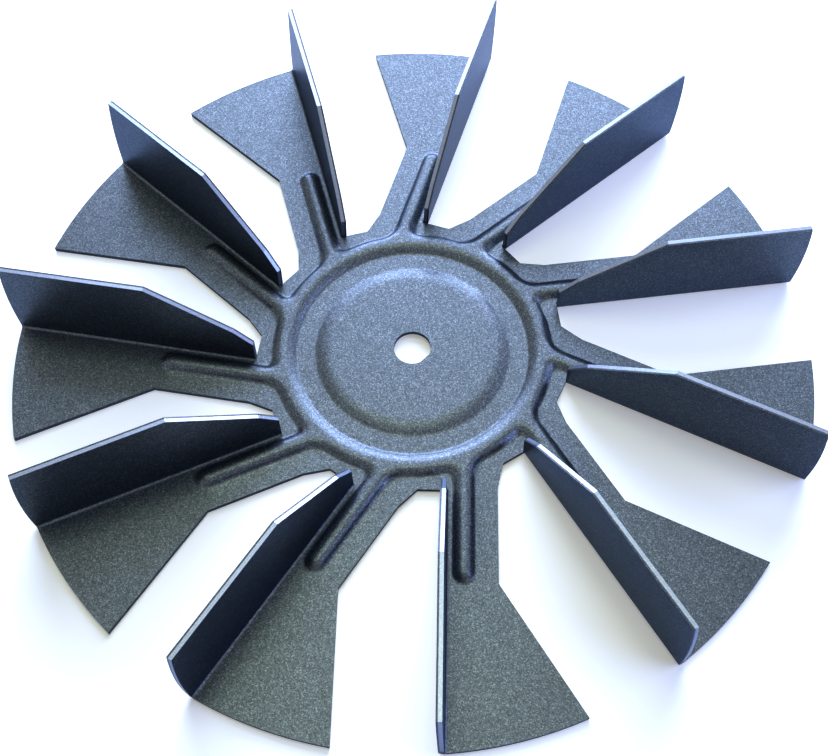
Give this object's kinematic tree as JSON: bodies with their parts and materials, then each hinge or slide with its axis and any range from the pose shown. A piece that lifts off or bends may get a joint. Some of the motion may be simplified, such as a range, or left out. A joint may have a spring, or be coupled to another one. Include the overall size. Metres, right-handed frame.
{
  "type": "paddle-blade fan impeller",
  "caption": "Fan impeller pressed from one round sheet: slotted arms widen into flat paddles, each with one edge bent up as a fin, round a beaded hub with a D-shaped bore.",
  "frame": {"origin": "centre of the bore, at the underside of the hub's raised middle", "axes": "+Z along the bore's axis, towards the side that the fins stand on; one fin's foot runs along -Y"},
  "size_m": [0.1501, 0.15, 0.019],
  "materials": {
    "coated_steel": "satin"
  },
  "bodies": {
    "root": {"impeller": "coated_steel"}
  },
  "joints": []
}
